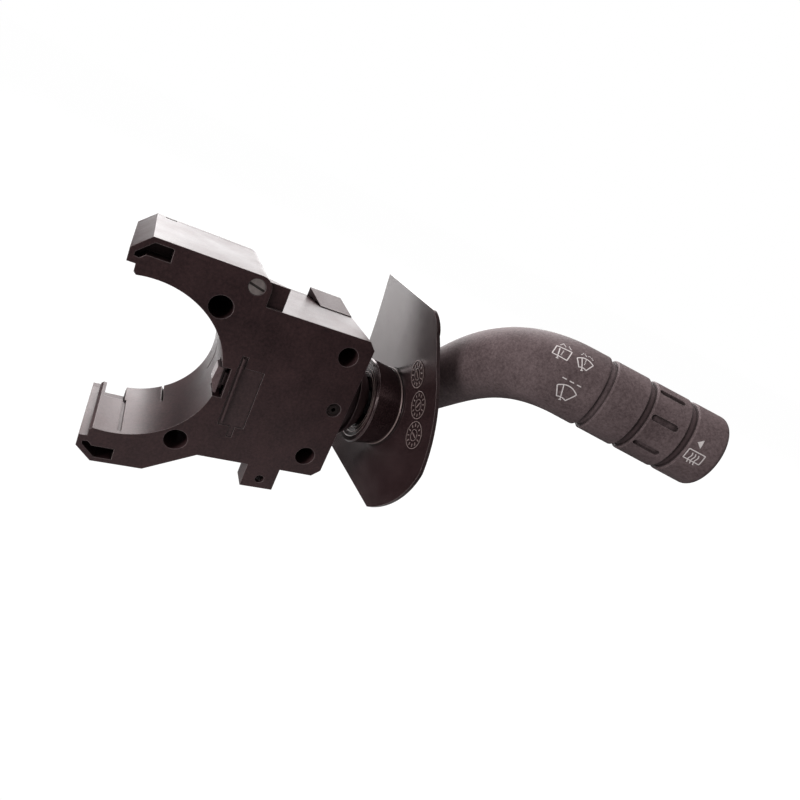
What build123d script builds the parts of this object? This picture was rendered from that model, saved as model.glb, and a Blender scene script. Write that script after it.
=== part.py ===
from build123d import *

import os
from math import cos, radians, sin, sqrt

# Combination stalk switch for a steering column. Millimetres.
# Origin: on the steering column's axis, at the housing's front face.
# +X runs out towards the lever, +Y along the column away from the driver, +Z up.

# ---- clearances ----
FIT = 0.05                  # running fit, radial
GAP = 0.3                   # free gap between pieces that move past each other
SEAT = 0.05                 # face gap between turning rings

# ---- housing depth (Y) ----
WALL = 2.6
CASE_DEPTH = 36.5
COVER_T = 3.0
COVER_FRONT = CASE_DEPTH - COVER_T
RING_BACK = COVER_FRONT - 0.5   # back edge of the seat's ring
SPLIT_Y = 23.0              # where the flexible rear fingers of the ring start
SLIT_W = 0.75

# ---- column seat and arms (X, Z) ----
BORE_R = 26.0               # seat on the steering column
LIP_X = -5.0                # where the seat's arc ends, on both arms
LIP_STEP = 0.8
ARM_T = 11.5                # arms, above and below the seat
ARM_HALF = BORE_R + ARM_T
ARM_LEFT = -8.2             # tips of the two arms
ARM_CHAMFER = 4.9
ARM_STEP_Z = BORE_R + WALL  # step in the tip, above the lip
LOWER_ARM_END = 12.1        # where the lower arm starts to slant up to the body
LOWER_SLANT_END = BORE_R + 1.4
BODY_HALF = BORE_R + 2.5    # half height of the body
BODY_CHAMFER = 2.8
SCREW_BOSS_R = 3.9          # rounded corner round the clamp screw
SCREW_BOSS_X = BORE_R + 1.9
GUSSET_REACH = 5.6

# ---- latch that snaps to the column ----
LATCH_Z0, LATCH_Z1 = -4.2, 5.0
LATCH_TIP_X = BORE_R - 2.3
LATCH_WINDOW_X = BORE_R + 2.4
LATCH_BACK_X = LATCH_WINDOW_X - GAP
LATCH_DEPTH = 8.5
LATCH_ROOT = 4.0            # depth of the thick part behind the window
LATCH_TRAVEL = 2.2
LATCH_SHANK_HALF = 2.3
LATCH_SHANK_END = LATCH_BACK_X + 4.9
LATCH_SPRING_R = 1.9
LATCH_SPRING_TURNS = 4
LATCH_STOP_X = LATCH_SHANK_END + 6.4
LATCH_STOP_T = 1.5
CLIP_X0 = LATCH_WINDOW_X + 1.9
CLIP_X1 = CLIP_X0 + 8.5
CLIP_Z0, CLIP_Z1 = -14.9, 6.5
CLIP_T = 1.2
CLIP_TAB_UP, CLIP_TAB_DOWN = 10.5, -19.1
CLIP_RIB = 0.7

# ---- lever pivots: both axes meet at one point ----
CAM_T = 5.0
CAM_WALL = 1.5
PLUNGER_TIP = 19.3          # nose of the plunger, from the pivot
CAM_BACK = LATCH_STOP_X + LATCH_STOP_T + CAM_WALL
CAM_X = CAM_BACK + CAM_T
PIVOT_X = CAM_X + GAP + PLUNGER_TIP
BODY_RIGHT = PIVOT_X + 5.2
FRONT_ROOM, REAR_ROOM = 5.5, 6.0     # before and behind the pivot frame
FRAME_HALF_Y = (COVER_FRONT - FRONT_ROOM - REAR_ROOM) / 2
FRAME_HALF_Z = 9.0
PIVOT_Y = FRONT_ROOM + FRAME_HALF_Y
FRAME_REAR, FRAME_FRONT = 7.0, 6.0   # from the pivot, towards -X and +X
FRAME_WALL = 2.2
TRUNNION_R = 1.9
DIMPLE_R = 2.7
DIMPLE_DEPTH = 0.6
PITCH_UP, PITCH_DOWN = 18.0, 6.0
YAW = 7.0
CROSS_PIN_R = 2.0
DOME_SKIRT_R = PIVOT_Y - WALL - 0.5
DOME_R = DOME_SKIRT_R + 4.2
DOME_WALL = 2.0
DOME_LIP = 8.5              # dome starts here, from the pivot
SIDE_OPENING_HALF = DOME_R + 0.6

# ---- cored holes, lug, pockets ----
HOLE_R = 3.75               # two holes beside the seat
SIDE_HOLE_R = 3.6           # two holes by the lever
HOLE_DEPTH = COVER_FRONT - 4.0
HOLE_WALL = 1.25
ARM_HOLE_CIRCLE = BORE_R + HOLE_R + 1.05
ARM_HOLE_ANGLE = radians(51.45)
ARM_HOLE_X = ARM_HOLE_CIRCLE * cos(ARM_HOLE_ANGLE)
ARM_HOLE_Z = ARM_HOLE_CIRCLE * sin(ARM_HOLE_ANGLE)
SIDE_HOLE_X = BODY_RIGHT - 8.2
SIDE_HOLE_Z = BODY_HALF - 7.8
LUG_X0 = BORE_R + 19.0
LUG_X1 = LUG_X0 + 12.0
LUG_FOOT = ARM_HALF + 0.1
LUG_T = 8.0
LUG_HOLE_R = 1.6
LUG_HOLE_X = (LUG_X0 + LUG_X1) / 2 + 0.1
LUG_HOLE_Z = 3.8 - LUG_FOOT
POCKET_DEPTH = 6.0
POCKET_WALL = 1.2
POCKET_END_X = 2.6
POCKET_Z0, POCKET_Z1 = ARM_HALF - 5.6, ARM_HALF - 1.5

# ---- screws ----
CLAMP_SCREW_X = SCREW_BOSS_X - 0.7
CLAMP_SCREW_Z = ARM_HALF - SCREW_BOSS_R
CLAMP_HEAD_R = 2.55
CLAMP_SHANK_R = 1.5
CLAMP_LENGTH = 16.0
COVER_SCREW_R = 1.2
COVER_HEAD_R = 2.4
COVER_HEAD_T = 1.4
COVER_SCREW_LENGTH = 10.0
COVER_SCREW_ARM_X, COVER_SCREW_ARM_Z = 7.0, ARM_HALF - 5.5
COVER_SCREW_BODY_X, COVER_SCREW_BODY_Z = BORE_R + 15.0, BODY_HALF - 6.3
SCREW_POST_R = 3.1

# ---- top lid ----
LID_FRONT = 25.0
LID_X0 = BODY_RIGHT - 15.9
LID_X1 = BODY_RIGHT - BODY_CHAMFER - 0.2
LID_SKEW = 3.0              # its back edge stands this far towards the seat
LID_EDGE = 0.3
LID_T = 3.4

# ---- lever arm and detent ----
ARM_R = 4.2
ARM_FRONT_R = 4.8
ARM_BACK = PLUNGER_TIP - 2.1     # end of the arm behind the pivot
PLUNGER_R = 2.5
PLUNGER_REAR = PLUNGER_TIP - 9.1
SPRING_WIRE = 0.45
SPRING_END = 4.6            # end of the spring's bore, from the pivot
DETENT_SPRING_TURNS = 4
CAM_HALF_Z = 7.2
CAM_HALF_Y = FRAME_HALF_Y - 2.0
NOTCH_STEP = 6.0            # degrees between the cam's notches
NOTCH_R = 2.9
NOTCH_DEPTH = 0.5

# ---- contact slides ----
PITCH_PEG = 9.0             # peg that moves the pitch slide, behind the pivot
PEG_R = 1.3
PITCH_SLIDE_HALF_X, PITCH_SLIDE_HALF_Z = 3.5, 5.0
SLIDE_T = 3.0
BOARD_T = 1.6
BOARD_Y = COVER_FRONT - 0.5 - BOARD_T
PITCH_SLIDE_Y = BOARD_Y - SLIDE_T - 0.4
BOARD_LEFT = CAM_BACK - 4.0
BOARD_HALF = COVER_SCREW_BODY_Z - SCREW_POST_R - 0.5
BOARD_EDGE = 6.0
BOARD_RAIL = 1.2
TRACK_W, TRACK_PITCH, TRACK_T = 1.0, 2.0, 0.25
TRACK_HALF_Z = 9.5
YAW_SLIDE_X = PLUNGER_TIP - 3.8  # middle of the yaw slide, behind the pivot
YAW_SLIDE_HALF_Y = FRAME_HALF_Y - 3.0
YAW_SLIDE_SLOT = 4.65       # half width of the slot round the arm
YAW_SLIDE_RIM = 2.4
GUIDE_WALL = 1.4
GUIDE_PLAY = 0.15
GUIDE_LIP, GUIDE_BACKING = 1.2, 2.0

# ---- shield and collar on the lever ----
SHIELD_R = 90.0             # bowed about an axis along Y, hollow side to the housing
SHIELD_X = PIVOT_X + DOME_R + 9.4   # crown of the bow
SHIELD_Z = 4.0
SHIELD_T = 1.4
SHIELD_TOP, SHIELD_BOTTOM = 47.6, -30.8
SHIELD_FAR, SHIELD_NEAR = 54.3, -27.4
SHIELD_TOP_FAR, SHIELD_LOW_FAR = SHIELD_FAR - 15.3, SHIELD_FAR - 20.3
COLLAR_R0 = DOME_R - 0.3
COLLAR_R1 = COLLAR_R0 - 1.8
COLLAR_X = SHIELD_X - 12.3
COLLAR_WALL = 1.5
COLLAR_LIP = 2.5            # width of its flat rim
COLLAR_EYE_R = 9.8          # opening of the dish inside the rim
BEAD = 0.9                  # bead where the collar meets the shield

# ---- stalk ----
ROOT_X, ROOT_Y, ROOT_Z = SHIELD_X - 1.1, PIVOT_Y + 1.3, 3.1     # where its centre line crosses the shield
ROOT_TURN, ROOT_RISE = 11.0, 19.0            # its direction there, degrees
ROOT_TAIL = 4.0             # length inside the collar
ROOT_R = 8.6
ROOT_PULL, TIP_PULL = 32.4, 35.2             # handles of the bend
TIP_X, TIP_Y, TIP_Z = 151.3, -41.4, 44.9     # origin of the knob's own axis
TIP_TURN, TIP_RISE = -31.9, -2.1
BEND_END = -22.9            # along the knob's axis
STALK_END = -16.1
KNOB_R = 13.15
GROOVE_R = 11.9
GROOVE_W = 2.4
SLEEVE_LENGTH = 12.5
RING_LENGTH = 13.1
WASHER_T = 2.2
RING_BORE_R = 8.9
CAP_LENGTH = 12.2
CAP_WALL = 2.4
CAP_HUB_WALL = 1.5
CAP_EDGE = 2.2
CAP_SPRING_WIRE, CAP_SPRING_LENGTH, CAP_SPRING_TURNS = 0.7, 6.0, 3
GRIP_SLOTS = 8
GRIP_START = 27.5           # angle of the first slot from straight up
SLOT_LENGTH = 9.4
SLOT_WIDTH = 2.2
SLOT_DEPTH = 1.1
SPINDLE_TAIL_R = 5.9
SPINDLE_TAIL = 11.0
SPINDLE_TIP_R = 4.9

# ---- connector on the rear cover ----
SOCKET_X, SOCKET_Z = BORE_R + 25.0, -13.0
SOCKET_HALF_X, SOCKET_HALF_Z = 15.0, 6.5
SOCKET_WALL = 1.3
SOCKET_DEPTH = 12.0
PIN_ROWS, PIN_COLUMNS = 2, 8
PIN_PITCH_X, PIN_PITCH_Z = 3.0, 4.0
PIN_HALF = 0.4
PIN_LENGTH = 9.0

# ---- values that follow ----
LIP_Z = sqrt(BORE_R**2 - LIP_X**2)
SHANK_Y = (WALL + LATCH_DEPTH) / 2
SLEEVE_START = STALK_END + GROOVE_W
SLEEVE_STOP = SLEEVE_START + SLEEVE_LENGTH
RING_START = SLEEVE_STOP + WASHER_T
RING_STOP = RING_START + RING_LENGTH
CAP_START = RING_STOP + WASHER_T
CAP_STOP = CAP_START + CAP_LENGTH
TIP_AXIS = Vector(
    cos(radians(TIP_RISE)) * cos(radians(TIP_TURN)),
    cos(radians(TIP_RISE)) * sin(radians(TIP_TURN)),
    sin(radians(TIP_RISE)),
)
TIP_ORIGIN = Vector(TIP_X, TIP_Y, TIP_Z)
TIP = Location(Plane(origin=TIP_ORIGIN, x_dir=(0, 0, 1), z_dir=TIP_AXIS))


def slab(face, y0, y1):
    """Extrude a face drawn in (X, Z) from depth y0 to depth y1."""
    return Pos(0, y0, 0) * extrude(Plane.XZ * face, amount=y0 - y1)


def box(x0, x1, y0, y1, z0, z1):
    """Box from its limits along each axis."""
    return Pos((x0 + x1) / 2, (y0 + y1) / 2, (z0 + z1) / 2) * Box(x1 - x0, y1 - y0, z1 - z0)


def rod_y(x, z, radius, y0, y1):
    """Cylinder along Y."""
    return Pos(x, (y0 + y1) / 2, z) * Rot(90, 0, 0) * Cylinder(radius, y1 - y0)


def rod_x(y, z, radius, x0, x1):
    """Cylinder along X."""
    return Pos((x0 + x1) / 2, y, z) * Rot(0, 90, 0) * Cylinder(radius, x1 - x0)


def rod_z(x, y, radius, z0, z1):
    """Cylinder along Z."""
    return Pos(x, y, (z0 + z1) / 2) * Cylinder(radius, z1 - z0)


def polygon(*points):
    """Face with straight edges."""
    return make_face(Polyline(*points, close=True))


def coil(radius, wire, length, turns):
    """Helical spring along +Z from the origin, as one solid."""
    path = Helix(pitch=length / turns, height=length, radius=radius)
    section = Plane(origin=path @ 0, z_dir=path % 0) * RegularPolygon(wire / 2, 6)
    return sweep(section, path=path)


def turned(*points):
    """Solid of revolution about the local Z axis from (radius, height) points."""
    profile = make_face(Polyline(*[(r, 0, z) for r, z in points], close=True))
    return revolve(profile, Axis.Z)


def tube(outer, inner, z0, z1):
    """Ring along the local Z axis."""
    return turned((inner, z0), (outer, z0), (outer, z1), (inner, z1))


# ======================= housing =======================


def outline():
    """Outline of the housing with the column seat cut out."""
    tip_x = LIP_X - LIP_STEP
    upper = [
        (LIP_X, LIP_Z),
        (tip_x, LIP_Z + LIP_STEP),
        (tip_x, ARM_STEP_Z),
        (ARM_LEFT, ARM_STEP_Z),
        (ARM_LEFT, ARM_HALF - ARM_CHAMFER),
        (ARM_LEFT + ARM_CHAMFER, ARM_HALF),
    ]
    corner_z = ARM_HALF - SCREW_BOSS_R
    corner_x = SCREW_BOSS_X + SCREW_BOSS_R
    right = [
        (SCREW_BOSS_X, ARM_HALF),
        (corner_x, corner_z),
        (corner_x, BODY_HALF),
        (BODY_RIGHT - BODY_CHAMFER, BODY_HALF),
        (BODY_RIGHT, BODY_HALF - BODY_CHAMFER),
        (BODY_RIGHT, BODY_CHAMFER - BODY_HALF),
        (BODY_RIGHT - BODY_CHAMFER, -BODY_HALF),
        (LOWER_SLANT_END, -BODY_HALF),
        (LOWER_ARM_END, -ARM_HALF),
    ]
    lower = [(x, -z) for x, z in reversed(upper)]
    face = polygon(*upper, *right, *lower)
    face += Pos(SCREW_BOSS_X, corner_z) * Circle(SCREW_BOSS_R)
    return face - Circle(BORE_R)


def hole_places():
    """Centres and radii of the four cored holes in the front face."""
    return [
        (ARM_HOLE_X, ARM_HOLE_Z, HOLE_R),
        (ARM_HOLE_X, -ARM_HOLE_Z, HOLE_R),
        (SIDE_HOLE_X, SIDE_HOLE_Z, SIDE_HOLE_R),
        (SIDE_HOLE_X, -SIDE_HOLE_Z, SIDE_HOLE_R),
    ]


def cover_screw_places():
    """Where the rear cover's four screws go."""
    return [
        (COVER_SCREW_ARM_X, COVER_SCREW_ARM_Z),
        (COVER_SCREW_ARM_X, -COVER_SCREW_ARM_Z),
        (COVER_SCREW_BODY_X, COVER_SCREW_BODY_Z),
        (COVER_SCREW_BODY_X, -COVER_SCREW_BODY_Z),
    ]


def pocket(side):
    """Coring pocket in the end of an arm; side is 1 above and -1 below."""
    left = ARM_LEFT + 1.5
    return polygon(
        (left, side * (POCKET_Z0 - 1.2)),
        (left + 1.4, side * (POCKET_Z0 - 1.4)),
        (left + 2.8, side * POCKET_Z0),
        (POCKET_END_X, side * POCKET_Z0),
        (POCKET_END_X, side * POCKET_Z1),
        (left + 4.2, side * POCKET_Z1),
        (left, side * (POCKET_Z1 - 4.2)),
    )


def ring_cuts():
    """Groove, notch and slits of the column seat's ring."""
    depth = BORE_R + WALL + 1.0
    groove = box(2.0, 3.0, 1.5, SPLIT_Y, -BORE_R - 0.6, -BORE_R + 3)
    notch = box(-4.0, 2.5, SPLIT_Y, CASE_DEPTH + 1, -depth - 2, -BORE_R + 6)
    slit = box(BORE_R - 3, depth, SPLIT_Y - 2, CASE_DEPTH + 1, -SLIT_W / 2, SLIT_W / 2)
    lower_slit = Rot(0, 57.5, 0) * slit
    band = slab(Circle(depth) - Circle(BORE_R - 1), SPLIT_Y, SPLIT_Y + SLIT_W)
    wedge = slab(polygon((0, 0), (40, -10.5), (40, 8.5)), SPLIT_Y - 1, SPLIT_Y + 2)
    return groove + notch + lower_slit + (band & wedge)


def clip_recess(grow):
    """Outline of the inset clip plate with its two tabs, grown by a clearance."""
    plate = Rectangle(CLIP_X1 - CLIP_X0 + 2 * grow, CLIP_Z1 - CLIP_Z0 + 2 * grow)
    plate = Pos((CLIP_X0 + CLIP_X1) / 2, (CLIP_Z0 + CLIP_Z1) / 2) * plate
    up = Rectangle(1.7 + 2 * grow, CLIP_TAB_UP - CLIP_Z1 + 2 + grow)
    up = Pos(CLIP_X0 + 1.05, (CLIP_TAB_UP + CLIP_Z1 - 2 + grow) / 2) * up
    down = Rectangle(1.5 + 2 * grow, CLIP_Z0 - CLIP_TAB_DOWN + 2 + grow)
    down = Pos(CLIP_X0 + 4.85, (CLIP_Z0 + CLIP_TAB_DOWN + 2 - grow) / 2) * down
    return plate + up + down


def main_housing():
    """Moulded housing: front face, walls, column seat, arms, bosses and lug."""
    face = outline()
    body = slab(face, 0, COVER_FRONT)
    cavity = offset(face, amount=-WALL, kind=Kind.INTERSECTION)
    posts = Sketch()
    for x, z, radius in hole_places():
        posts += Pos(x, z) * Circle(radius + HOLE_WALL)
    for x, z in cover_screw_places():
        posts += Pos(x, z) * Circle(SCREW_POST_R)
    posts += Pos(CLAMP_SCREW_X, CLAMP_SCREW_Z) * Circle(CLAMP_HEAD_R + HOLE_WALL)
    body -= slab(cavity - posts, WALL, COVER_FRONT + 1)
    for side in (1, -1):
        lining = offset(pocket(side), amount=POCKET_WALL, kind=Kind.INTERSECTION) & face
        body += slab(lining, 1, POCKET_DEPTH + POCKET_WALL)

    # The ring ends short of the cover, which passes outside it.
    body -= slab(Circle(BORE_R + WALL), RING_BACK, COVER_FRONT + 1)
    body -= ring_cuts()
    for x, z, radius in hole_places():
        body -= rod_y(x, z, radius, -1, HOLE_DEPTH)
    for x, z in cover_screw_places():
        body -= rod_y(x, z, COVER_SCREW_R, COVER_FRONT - COVER_SCREW_LENGTH, COVER_FRONT + 1)
    for side in (1, -1):
        body -= slab(pocket(side), -1, POCKET_DEPTH)

    # Clamp screw's seat.
    body -= rod_y(CLAMP_SCREW_X, CLAMP_SCREW_Z, CLAMP_HEAD_R + 0.1, -1, 1.2)
    body -= rod_y(CLAMP_SCREW_X, CLAMP_SCREW_Z, CLAMP_SHANK_R, 0, CLAMP_LENGTH)

    # Window for the latch, recess for its clip plate and a wall for its spring.
    low, high = LATCH_Z0 - GAP - 1, LATCH_Z1 + GAP
    body -= box(BORE_R - 1, LATCH_WINDOW_X, -1, LATCH_DEPTH + GAP, low, high)
    body -= box(BORE_R - 1, BORE_R + WALL + 1, WALL, LATCH_DEPTH + GAP, low, high)
    body -= slab(clip_recess(0.15), -1, CLIP_T)
    body += box(LATCH_STOP_X, LATCH_STOP_X + LATCH_STOP_T, WALL, LATCH_DEPTH + 1, -6, 6)
    body -= rod_x(SHANK_Y, 0, 0.6, LATCH_STOP_X - 1, LATCH_STOP_X + 2 * LATCH_STOP_T)

    # Side opening for the lever's dome, and the front bearing of the pivot.
    half = SIDE_OPENING_HALF
    body -= box(BODY_RIGHT - WALL - 1, BODY_RIGHT + 1, WALL, COVER_FRONT + 1, -half, half)
    body += rod_y(PIVOT_X, 0, TRUNNION_R + 2.2, WALL, PIVOT_Y - FRAME_HALF_Y - GAP)
    body -= rod_y(PIVOT_X, 0, TRUNNION_R + FIT, -1, PIVOT_Y)
    body -= rod_y(PIVOT_X, 0, DIMPLE_R, -1, DIMPLE_DEPTH)

    # Opening under the top lid.
    body -= box(
        LID_X0 + 1, LID_X1 - LID_SKEW - 5, LID_FRONT + 2.5,
        COVER_FRONT - 1.5, BODY_HALF - WALL - 1, BODY_HALF + 1
    )

    # Lug below, gusset beside the screw corner.
    body += box(LUG_X0, LUG_X1, 0, LUG_T, -LUG_FOOT, -BODY_HALF + 0.5)
    body -= rod_y(LUG_HOLE_X, LUG_HOLE_Z, LUG_HOLE_R, -1, LUG_T + 1)
    corner_x = SCREW_BOSS_X + SCREW_BOSS_R
    inset = corner_x - 1.2
    gusset = Polyline((inset, 1), (corner_x + GUSSET_REACH, 1), (inset, GUSSET_REACH + 0.2), close=True)
    body += Pos(0, 0, BODY_HALF) * extrude(make_face(gusset), amount=ARM_HALF - BODY_HALF - 1.3)

    # Seats for the cam, the slide guide and the contact board.
    body += box(CAM_BACK - CAM_WALL, CAM_BACK, WALL, PIVOT_Y + CAM_HALF_Y, -CAM_HALF_Z, CAM_HALF_Z)
    return body


def rear_cover():
    """Rear cover with the connector's shroud."""
    face = outline() - Circle(BORE_R + WALL + GAP)
    cover = slab(face, COVER_FRONT, CASE_DEPTH)
    cover -= ring_cuts()
    for x, z in cover_screw_places():
        cover -= rod_y(x, z, COVER_SCREW_R + 0.2, COVER_FRONT - 1, CASE_DEPTH + 1)
        cover -= rod_y(x, z, COVER_HEAD_R + 0.2, CASE_DEPTH - COVER_HEAD_T, CASE_DEPTH + 1)
    shroud = Rectangle(2 * (SOCKET_HALF_X + SOCKET_WALL), 2 * (SOCKET_HALF_Z + SOCKET_WALL))
    shroud = slab(Pos(SOCKET_X, SOCKET_Z) * shroud, CASE_DEPTH, CASE_DEPTH + SOCKET_DEPTH)
    shroud = fillet(shroud.edges().filter_by(Axis.Y), 1.2)
    cavity = slab(
        Pos(SOCKET_X, SOCKET_Z) * Rectangle(2 * SOCKET_HALF_X, 2 * SOCKET_HALF_Z),
        CASE_DEPTH, CASE_DEPTH + SOCKET_DEPTH + 1,
    )
    cover += shroud - cavity
    key = box(SOCKET_X - 3, SOCKET_X + 3, CASE_DEPTH, CASE_DEPTH + SOCKET_DEPTH,
              SOCKET_Z + SOCKET_HALF_Z, SOCKET_Z + SOCKET_HALF_Z + SOCKET_WALL + 1.6)
    cover += key
    for x, z in pin_places():
        cover -= slab(Pos(x, z) * Rectangle(2 * PIN_HALF, 2 * PIN_HALF), COVER_FRONT - 1, CASE_DEPTH + 1)
    # Bearing for the rear trunnion.
    cover -= rod_y(PIVOT_X, 0, TRUNNION_R + FIT, COVER_FRONT - 1, CASE_DEPTH - 0.8)
    # Snap notch in the top edge.
    cover -= rod_y(1.0, ARM_HALF, 1.8, COVER_FRONT - 1, COVER_FRONT + 1.2)
    return cover


def pin_places():
    """Grid of the connector's terminals."""
    return [
        (
            SOCKET_X + (i - (PIN_COLUMNS - 1) / 2) * PIN_PITCH_X,
            SOCKET_Z + (j - (PIN_ROWS - 1) / 2) * PIN_PITCH_Z,
        )
        for i in range(PIN_COLUMNS)
        for j in range(PIN_ROWS)
    ]


def terminal_pins():
    """Blades from the contact board out through the rear cover."""
    pins = []
    for x, z in pin_places():
        blade = Rectangle(2 * PIN_HALF, 2 * PIN_HALF)
        pins.append(slab(Pos(x, z) * blade, BOARD_Y + BOARD_T, CASE_DEPTH + PIN_LENGTH))
    return Compound(children=pins)


def cover_screws():
    """Four screws of the rear cover."""
    screws = []
    for x, z in cover_screw_places():
        screw = rod_y(x, z, COVER_SCREW_R, COVER_FRONT - COVER_SCREW_LENGTH + 1, CASE_DEPTH - COVER_HEAD_T)
        screw += rod_y(x, z, COVER_HEAD_R, CASE_DEPTH - COVER_HEAD_T, CASE_DEPTH - 0.1)
        screw -= slab(Pos(x, z) * Rectangle(2.6, 0.7), CASE_DEPTH - 0.8, CASE_DEPTH)
        screw -= slab(Pos(x, z) * Rectangle(0.7, 2.6), CASE_DEPTH - 0.8, CASE_DEPTH)
        screws.append(screw)
    return Compound(children=screws)


def clamp_screw():
    """Slotted screw in the upper corner."""
    x, z = CLAMP_SCREW_X, CLAMP_SCREW_Z
    screw = rod_y(x, z, CLAMP_SHANK_R, 1.2, CLAMP_LENGTH - 0.3)
    screw += rod_y(x, z, CLAMP_HEAD_R, 0.1, 1.2)
    slot = Pos(x, z) * Rot(0, 0, -14) * Rectangle(2 * CLAMP_HEAD_R + 1, 0.75)
    return screw - slab(slot, -1, 0.8)


def latch_clip():
    """Inset clip plate that closes the latch's pocket, with a raised rib."""
    plate = slab(clip_recess(0), 0.15, CLIP_T)
    rib = box(CLIP_X0 + 0.5, CLIP_X0 + 1.5, 0.15 - CLIP_RIB, 0.5, CLIP_Z0 + 0.8, CLIP_TAB_UP - 0.5)
    rib = fillet(rib.edges().filter_by(Axis.Z).group_by(Axis.Y)[0], 0.4)
    return plate + rib


def latch_hook():
    """Spring latch with a barb that stands into the column seat."""
    back = LATCH_BACK_X
    barb = polygon(
        (back, LATCH_Z0), (LATCH_TIP_X + 1.6, LATCH_Z0), (LATCH_TIP_X, 0.0),
        (LATCH_TIP_X + 0.6, LATCH_Z1), (back, LATCH_Z1),
    )
    hook = slab(barb, 0.3, LATCH_DEPTH)
    ramp = [(LATCH_TIP_X - 1, 3.2), (LATCH_TIP_X - 1, LATCH_DEPTH + 1), (back - 0.6, LATCH_DEPTH + 1)]
    hook -= Pos(0, 0, LATCH_Z0 - 1) * extrude(polygon(*ramp), amount=LATCH_Z1 - LATCH_Z0 + 2)
    front_end = LATCH_WINDOW_X - LATCH_TRAVEL - 0.1
    hook -= box(front_end, back + 1, 0, LATCH_DEPTH - LATCH_ROOT, LATCH_Z0 - 1, LATCH_Z1 + 1)
    half = LATCH_SHANK_HALF
    hook += box(back - 0.5, LATCH_SHANK_END, SHANK_Y - half, SHANK_Y + half, -half, half)
    return hook


def latch_spring():
    """Coil spring behind the latch."""
    length = LATCH_STOP_X - LATCH_SHANK_END - SPRING_WIRE
    spring = coil(LATCH_SPRING_R - SPRING_WIRE / 2, SPRING_WIRE, length, LATCH_SPRING_TURNS)
    return Pos(LATCH_SHANK_END + SPRING_WIRE / 2, SHANK_Y, 0) * Rot(0, 90, 0) * spring


def top_lid():
    """Wedge-shaped clip-on lid on the body's top, nearly flush at its front edge."""
    back = CASE_DEPTH - 0.4
    plan = [(LID_X0, LID_FRONT), (LID_X1, LID_FRONT), (LID_X1 - LID_SKEW, back), (LID_X0 - LID_SKEW, back)]
    lid = Pos(0, 0, BODY_HALF) * extrude(polygon(*plan), amount=LID_T)
    above = polygon(
        (LID_FRONT - 1, LID_EDGE), (LID_FRONT, LID_EDGE),
        (back, LID_T), (back, LID_T + 1), (LID_FRONT - 1, LID_T + 1)
    )
    lid -= Pos(LID_X0 - 2 * LID_SKEW, 0, BODY_HALF) * extrude(Plane.YZ * above, amount=LID_X1 - LID_X0 + 10)
    # Two snap slots along the foot of its left side.
    for y in (LID_FRONT + 3.5, LID_FRONT + 7.5):
        side_x = LID_X0 - LID_SKEW * (y - LID_FRONT) / (back - LID_FRONT)
        lid -= box(side_x - LID_SKEW, side_x + 1.2, y - 1.3, y + 1.3, BODY_HALF - 1, BODY_HALF + 0.6)
    return lid


# ======================= inside the housing =======================


def contact_board():
    """Insulating board under the rear cover."""
    rail_x = PIVOT_X - PITCH_PEG
    near = PITCH_SLIDE_HALF_X + 0.2
    left, right = BOARD_LEFT, rail_x + near + BOARD_RAIL
    half = BOARD_HALF
    board = box(left, right, BOARD_Y, BOARD_Y + BOARD_T, -half, half)
    guide = box(
        rail_x - near - BOARD_RAIL, right, PITCH_SLIDE_Y, BOARD_Y, BOARD_EDGE - half, half - BOARD_EDGE
    )
    board += guide - box(rail_x - near, rail_x + near, PITCH_SLIDE_Y - 1, BOARD_Y, -half, half)
    for z in (half - 2, -half):
        board += box(left, right, BOARD_Y + BOARD_T, COVER_FRONT, z, z + 2)
    for x, z, radius in hole_places():
        board -= rod_y(x, z, radius + HOLE_WALL + GAP, BOARD_Y - 5, COVER_FRONT + 1)
    return board


def contact_tracks():
    """Stamped tracks on the board, under the pitch slide."""
    tracks = []
    x = PIVOT_X - PITCH_PEG
    for i in (-1, 0, 1):
        middle = x + i * TRACK_PITCH
        half = TRACK_HALF_Z - 1 - i
        tracks.append(
            box(middle - TRACK_W / 2, middle + TRACK_W / 2, BOARD_Y - TRACK_T, BOARD_Y, -half, half)
        )
    return Compound(children=tracks)


def detent_cam():
    """Block with a hollow face: notches for the plunger at each lever position."""
    y0, y1 = PIVOT_Y - CAM_HALF_Y, PIVOT_Y + CAM_HALF_Y
    block = slab(Pos(CAM_X + 1.5, 0) * Rectangle(2 * CAM_T + 3, 2 * CAM_HALF_Z), y0, y1)
    block -= box(CAM_BACK - 2 * CAM_T, CAM_BACK, y0 - 1, y1 + 1, -CAM_HALF_Z - 1, CAM_HALF_Z + 1)
    reach = PLUNGER_TIP + GAP
    block -= rod_y(PIVOT_X, 0, reach, y0 - 1, y1 + 1)
    count = int((PITCH_UP + PITCH_DOWN) / NOTCH_STEP) + 1
    for i in range(count):
        angle = radians(i * NOTCH_STEP - PITCH_UP)
        centre = reach + NOTCH_DEPTH - NOTCH_R
        x = PIVOT_X - centre * cos(angle)
        block -= rod_y(x, -centre * sin(-angle), NOTCH_R, y0 + 1.5, y1 - 1.5)
    return block


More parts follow.
